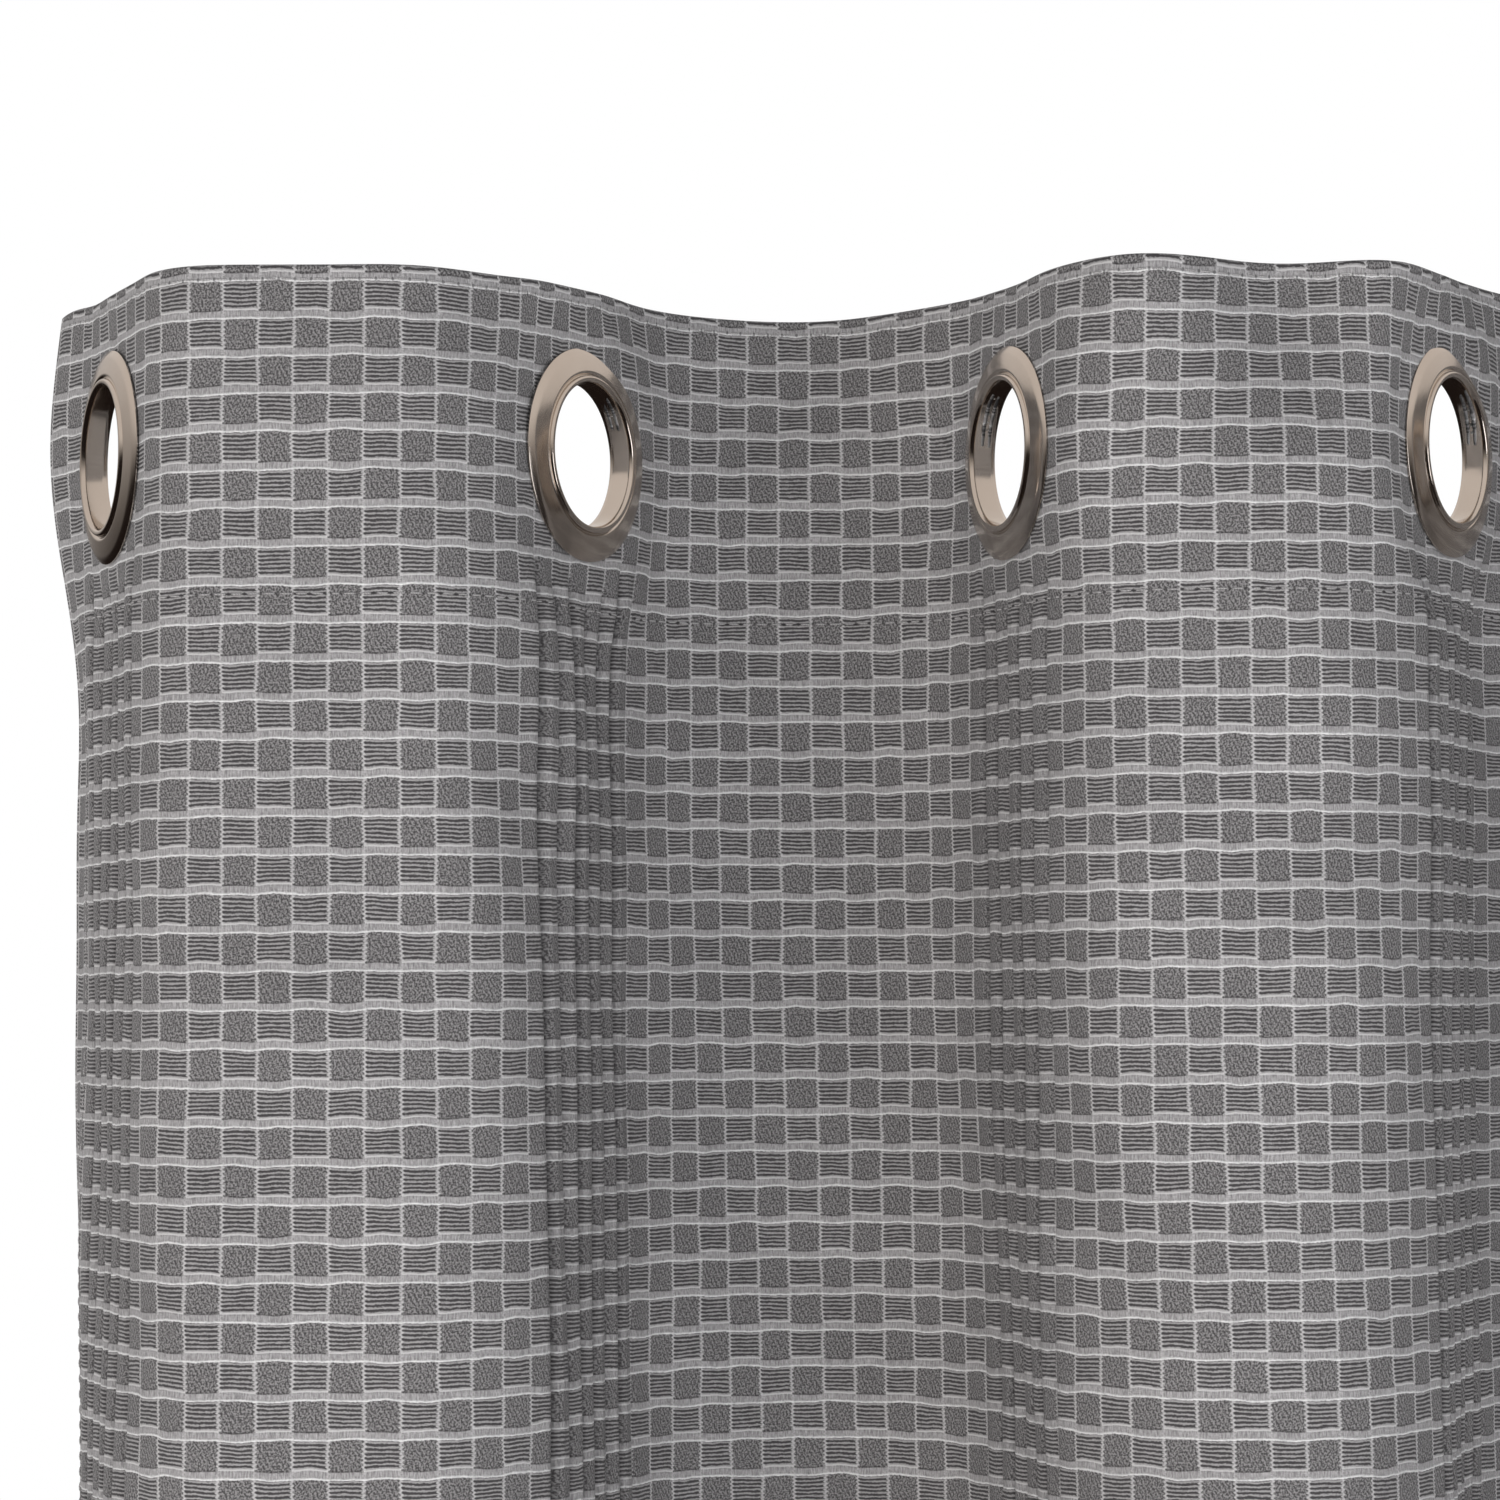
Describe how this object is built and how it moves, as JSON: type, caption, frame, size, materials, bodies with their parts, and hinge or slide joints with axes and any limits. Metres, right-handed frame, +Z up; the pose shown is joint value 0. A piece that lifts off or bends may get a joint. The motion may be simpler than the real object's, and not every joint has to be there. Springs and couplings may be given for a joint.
{
  "type": "eyelet curtain panel",
  "caption": "Full-drop fabric curtain panel with a stiffened eyelet heading that zigzags along a rod; the eyelets and folds travel along the rod as it is drawn.",
  "frame": {"origin": "on the rod's axis, at the first eyelet from the left, seen from the room", "axes": "+X along the rod to the right, -Y towards the room, +Z up"},
  "size_m": [0.9044, 0.1164, 2.4512],
  "materials": {
    "cloth": "grey polyester dobby weave with a raised check",
    "stiffener": "non-woven heading stiffener",
    "eyelet": "satin nickel plating",
    "label": "woven satin, blank"
  },
  "bodies": {
    "carrier_1": {"cloth_wall_1": "cloth", "stiffener_wall_1": "stiffener", "eyelet_front_1": "eyelet", "eyelet_back_1": "eyelet"},
    "fold_1": {"cloth_fold_1": "cloth", "stiffener_fold_1": "stiffener"},
    "carrier_2": {"cloth_wall_2": "cloth", "stiffener_wall_2": "stiffener", "eyelet_front_2": "eyelet", "eyelet_back_2": "eyelet"},
    "fold_2": {"cloth_fold_2": "cloth", "stiffener_fold_2": "stiffener"},
    "carrier_3": {"cloth_wall_3": "cloth", "stiffener_wall_3": "stiffener", "eyelet_front_3": "eyelet", "eyelet_back_3": "eyelet"},
    "fold_3": {"cloth_fold_3": "cloth", "stiffener_fold_3": "stiffener"},
    "carrier_4": {"cloth_wall_4": "cloth", "stiffener_wall_4": "stiffener", "eyelet_front_4": "eyelet", "eyelet_back_4": "eyelet"},
    "fold_4": {"cloth_fold_4": "cloth", "stiffener_fold_4": "stiffener"},
    "carrier_5": {"cloth_wall_5": "cloth", "stiffener_wall_5": "stiffener", "eyelet_front_5": "eyelet", "eyelet_back_5": "eyelet"},
    "fold_5": {"cloth_fold_5": "cloth", "stiffener_fold_5": "stiffener"},
    "carrier_6": {"cloth_wall_6": "cloth", "stiffener_wall_6": "stiffener", "eyelet_front_6": "eyelet", "eyelet_back_6": "eyelet"},
    "fold_6": {"cloth_fold_6": "cloth", "stiffener_fold_6": "stiffener"},
    "carrier_7": {"cloth_wall_7": "cloth", "stiffener_wall_7": "stiffener", "eyelet_front_7": "eyelet", "eyelet_back_7": "eyelet"},
    "fold_7": {"cloth_fold_7": "cloth", "stiffener_fold_7": "stiffener"},
    "carrier_8": {"cloth_wall_8": "cloth", "stiffener_wall_8": "stiffener", "eyelet_front_8": "eyelet", "eyelet_back_8": "eyelet", "care_label": "label"}
  },
  "joints": [
    {"name": "fold_1_opens", "type": "slide", "parent": "carrier_1", "child": "fold_1", "axis": [0.7433, 0.669, 0], "range_m": [-0.0336, 0.0168], "deforming": ["cloth_wall_1", "stiffener_wall_1", "cloth_fold_1", "stiffener_fold_1"]},
    {"name": "eyelet_2_travels", "type": "slide", "parent": "fold_1", "child": "carrier_2", "axis": [0.7433, -0.669, 0], "range_m": [-0.0336, 0.0168], "deforming": ["cloth_wall_2", "stiffener_wall_2", "cloth_fold_1", "stiffener_fold_1"]},
    {"name": "fold_2_opens", "type": "slide", "parent": "carrier_2", "child": "fold_2", "axis": [0.7433, -0.669, 0], "range_m": [-0.0336, 0.0168], "deforming": ["cloth_wall_2", "stiffener_wall_2", "cloth_fold_2", "stiffener_fold_2"]},
    {"name": "eyelet_3_travels", "type": "slide", "parent": "fold_2", "child": "carrier_3", "axis": [0.7433, 0.669, 0], "range_m": [-0.0336, 0.0168], "deforming": ["cloth_wall_3", "stiffener_wall_3", "cloth_fold_2", "stiffener_fold_2"]},
    {"name": "fold_3_opens", "type": "slide", "parent": "carrier_3", "child": "fold_3", "axis": [0.7433, 0.669, 0], "range_m": [-0.0336, 0.0168], "deforming": ["cloth_wall_3", "stiffener_wall_3", "cloth_fold_3", "stiffener_fold_3"]},
    {"name": "eyelet_4_travels", "type": "slide", "parent": "fold_3", "child": "carrier_4", "axis": [0.7433, -0.669, 0], "range_m": [-0.0336, 0.0168], "deforming": ["cloth_wall_4", "stiffener_wall_4", "cloth_fold_3", "stiffener_fold_3"]},
    {"name": "fold_4_opens", "type": "slide", "parent": "carrier_4", "child": "fold_4", "axis": [0.7433, -0.669, 0], "range_m": [-0.0336, 0.0168], "deforming": ["cloth_wall_4", "stiffener_wall_4", "cloth_fold_4", "stiffener_fold_4"]},
    {"name": "eyelet_5_travels", "type": "slide", "parent": "fold_4", "child": "carrier_5", "axis": [0.7433, 0.669, 0], "range_m": [-0.0336, 0.0168], "deforming": ["cloth_wall_5", "stiffener_wall_5", "cloth_fold_4", "stiffener_fold_4"]},
    {"name": "fold_5_opens", "type": "slide", "parent": "carrier_5", "child": "fold_5", "axis": [0.7433, 0.669, 0], "range_m": [-0.0336, 0.0168], "deforming": ["cloth_wall_5", "stiffener_wall_5", "cloth_fold_5", "stiffener_fold_5"]},
    {"name": "eyelet_6_travels", "type": "slide", "parent": "fold_5", "child": "carrier_6", "axis": [0.7433, -0.669, 0], "range_m": [-0.0336, 0.0168], "deforming": ["cloth_wall_6", "stiffener_wall_6", "cloth_fold_5", "stiffener_fold_5"]},
    {"name": "fold_6_opens", "type": "slide", "parent": "carrier_6", "child": "fold_6", "axis": [0.7433, -0.669, 0], "range_m": [-0.0336, 0.0168], "deforming": ["cloth_wall_6", "stiffener_wall_6", "cloth_fold_6", "stiffener_fold_6"]},
    {"name": "eyelet_7_travels", "type": "slide", "parent": "fold_6", "child": "carrier_7", "axis": [0.7433, 0.669, 0], "range_m": [-0.0336, 0.0168], "deforming": ["cloth_wall_7", "stiffener_wall_7", "cloth_fold_6", "stiffener_fold_6"]},
    {"name": "fold_7_opens", "type": "slide", "parent": "carrier_7", "child": "fold_7", "axis": [0.7433, 0.669, 0], "range_m": [-0.0336, 0.0168], "deforming": ["cloth_wall_7", "stiffener_wall_7", "cloth_fold_7", "stiffener_fold_7"]},
    {"name": "eyelet_8_travels", "type": "slide", "parent": "fold_7", "child": "carrier_8", "axis": [0.7433, -0.669, 0], "range_m": [-0.0336, 0.0168], "deforming": ["cloth_wall_8", "stiffener_wall_8", "cloth_fold_7", "stiffener_fold_7", "care_label"]}
  ],
  "couplings": [
    {"joint": "eyelet_2_travels", "follows": "fold_1_opens", "ratio": 1},
    {"joint": "fold_2_opens", "follows": "fold_1_opens", "ratio": 1},
    {"joint": "eyelet_3_travels", "follows": "fold_1_opens", "ratio": 1},
    {"joint": "fold_3_opens", "follows": "fold_1_opens", "ratio": 1},
    {"joint": "eyelet_4_travels", "follows": "fold_1_opens", "ratio": 1},
    {"joint": "fold_4_opens", "follows": "fold_1_opens", "ratio": 1},
    {"joint": "eyelet_5_travels", "follows": "fold_1_opens", "ratio": 1},
    {"joint": "fold_5_opens", "follows": "fold_1_opens", "ratio": 1},
    {"joint": "eyelet_6_travels", "follows": "fold_1_opens", "ratio": 1},
    {"joint": "fold_6_opens", "follows": "fold_1_opens", "ratio": 1},
    {"joint": "eyelet_7_travels", "follows": "fold_1_opens", "ratio": 1},
    {"joint": "fold_7_opens", "follows": "fold_1_opens", "ratio": 1},
    {"joint": "eyelet_8_travels", "follows": "fold_1_opens", "ratio": 1}
  ]
}
